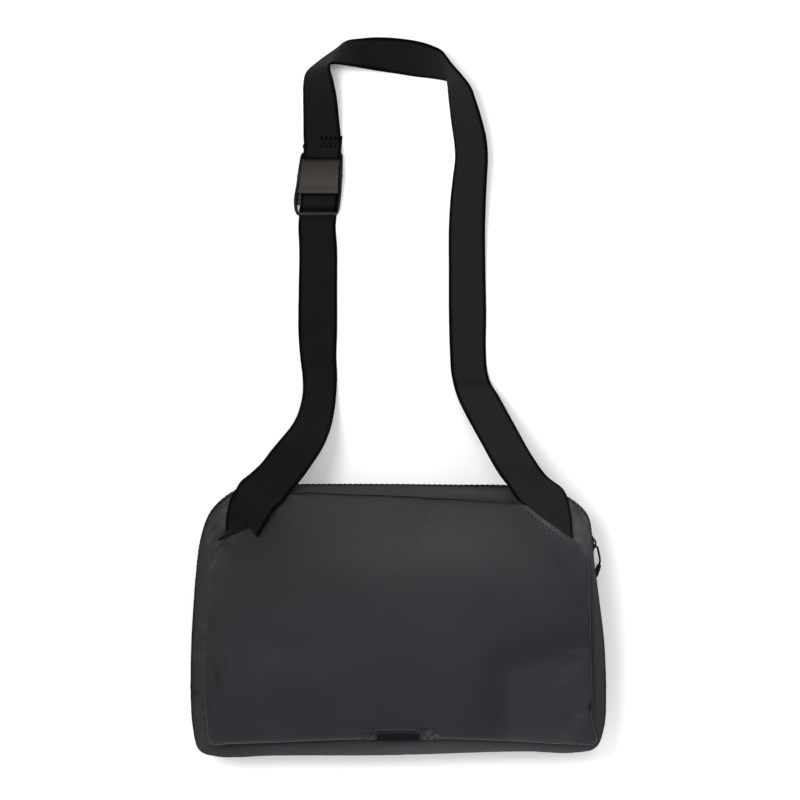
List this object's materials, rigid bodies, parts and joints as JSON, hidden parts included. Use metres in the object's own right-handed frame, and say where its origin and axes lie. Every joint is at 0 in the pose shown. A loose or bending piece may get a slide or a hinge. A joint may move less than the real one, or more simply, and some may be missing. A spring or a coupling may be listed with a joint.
{
  "type": "handlebar bag",
  "caption": "Soft boxy handlebar bag lying on its back, with a zip over the top, a webbing shoulder strap and a cam buckle.",
  "frame": {"origin": "middle of the bag's flat back, on the surface that it lies on", "axes": "+X to the bag's right seen from its front, +Y up along its height towards the strap's loop, +Z out of its front"},
  "size_m": [0.2274, 0.396, 0.0611],
  "materials": {
    "coated_cloth": "matt coated weave",
    "back_cloth": "matt weave",
    "webbing": "ribbed webbing",
    "zip_tape": "woven tape with a coil",
    "dark_metal": "satin dark plating",
    "cord": "braided cord",
    "rubber": "matt moulded"
  },
  "bodies": {
    "bag": {"front_panel": "coated_cloth", "back_panel": "back_cloth", "gusset_base": "coated_cloth", "gusset_top_front": "coated_cloth", "gusset_top_back": "coated_cloth", "zip_chain": "zip_tape", "zip_slider": "dark_metal", "zip_pull_cord": "cord", "zip_pull_tab": "rubber", "loop_patch": "coated_cloth", "light_loop": "webbing", "anchor_webbing": "webbing", "strap_adjuster": "webbing", "strap_main": "webbing", "buckle_frame": "dark_metal"},
    "lever": {"buckle_lever": "dark_metal"}
  },
  "joints": [
    {"name": "lever_hinge", "type": "hinge", "parent": "bag", "child": "lever", "pos_m": [-0.04435, 0.24629, 0.0046], "axis": [-0.9969, 0.0785, 0], "range_deg": [0, 25]}
  ]
}
